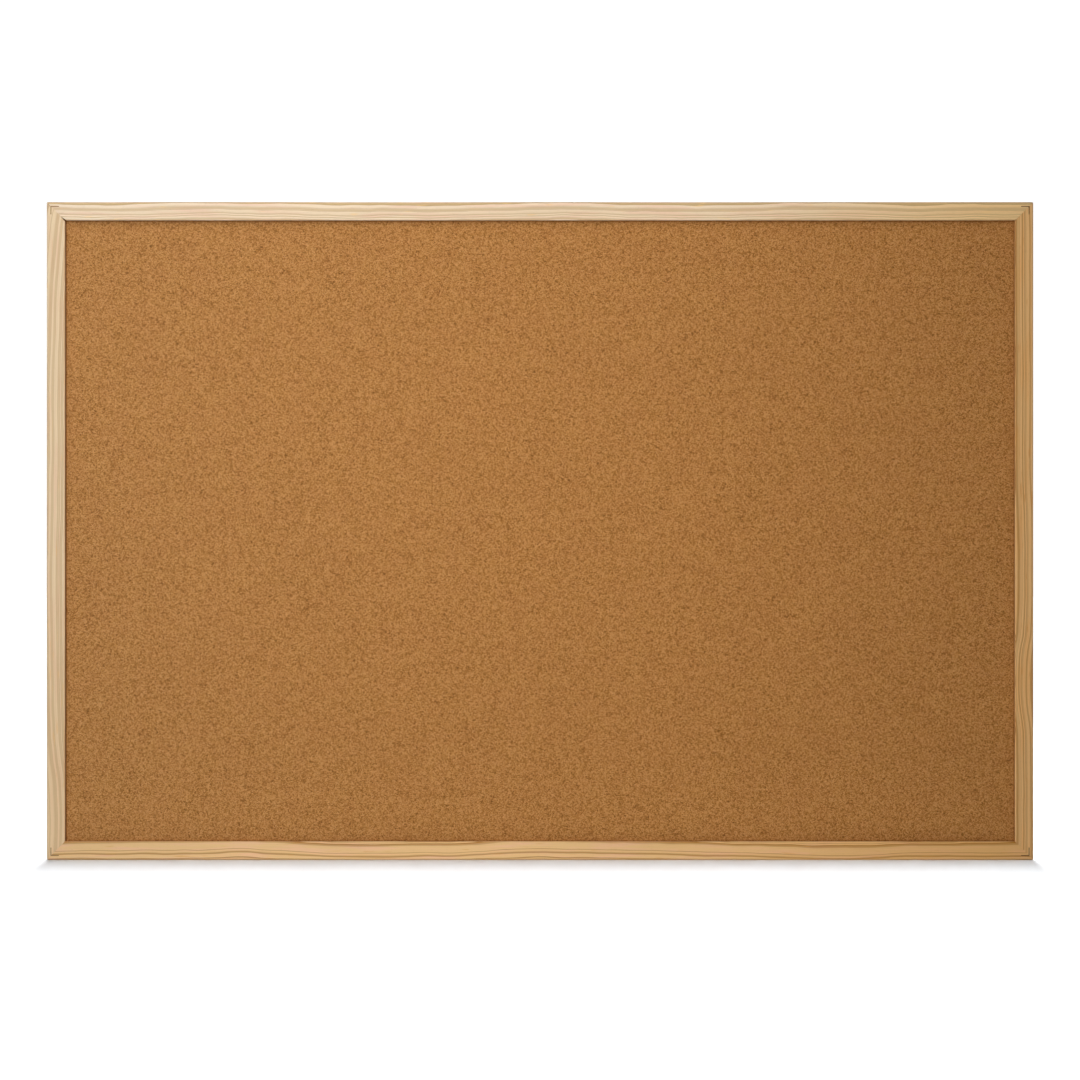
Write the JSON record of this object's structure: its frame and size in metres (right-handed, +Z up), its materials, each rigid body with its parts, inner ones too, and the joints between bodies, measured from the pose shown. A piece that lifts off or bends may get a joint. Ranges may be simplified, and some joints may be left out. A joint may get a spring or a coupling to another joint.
{
  "type": "cork bulletin board",
  "caption": "Wall-hung cork pin board in a slim mitred pine frame, with a softboard core and D-ring hangers on the back.",
  "frame": {"origin": "middle of the bottom rail's rear face, in the plane of the frame's back", "axes": "+X along the width, to the right seen from the front; +Y out of the back, towards the wall; +Z up"},
  "size_m": [0.9144, 0.0209, 0.6096],
  "materials": {
    "pine": "matte",
    "cork": "matte",
    "softboard": "matte",
    "kraft_paper": "matte",
    "nail_steel": "satin",
    "zinc_plate": "satin"
  },
  "bodies": {
    "board": {"top_rail": "pine", "bottom_rail": "pine", "left_rail": "pine", "right_rail": "pine", "cork_sheet": "cork", "fibreboard_core": "softboard", "backing_paper": "kraft_paper", "front_v_nails": "nail_steel", "rear_v_nails": "nail_steel", "left_hanger_strap": "zinc_plate", "right_hanger_strap": "zinc_plate", "hanger_screws": "zinc_plate"},
    "left_ring": {"left_hanger_ring": "zinc_plate"},
    "right_ring": {"right_hanger_ring": "zinc_plate"}
  },
  "joints": [
    {"name": "left_ring_swing", "type": "hinge", "parent": "board", "child": "left_ring", "pos_m": [-0.4487, 0.0019, 0.5111], "axis": [1, 0, 0], "range_deg": [0, 178]},
    {"name": "right_ring_swing", "type": "hinge", "parent": "board", "child": "right_ring", "pos_m": [0.4487, 0.0019, 0.5111], "axis": [1, 0, 0], "range_deg": [0, 178]}
  ]
}
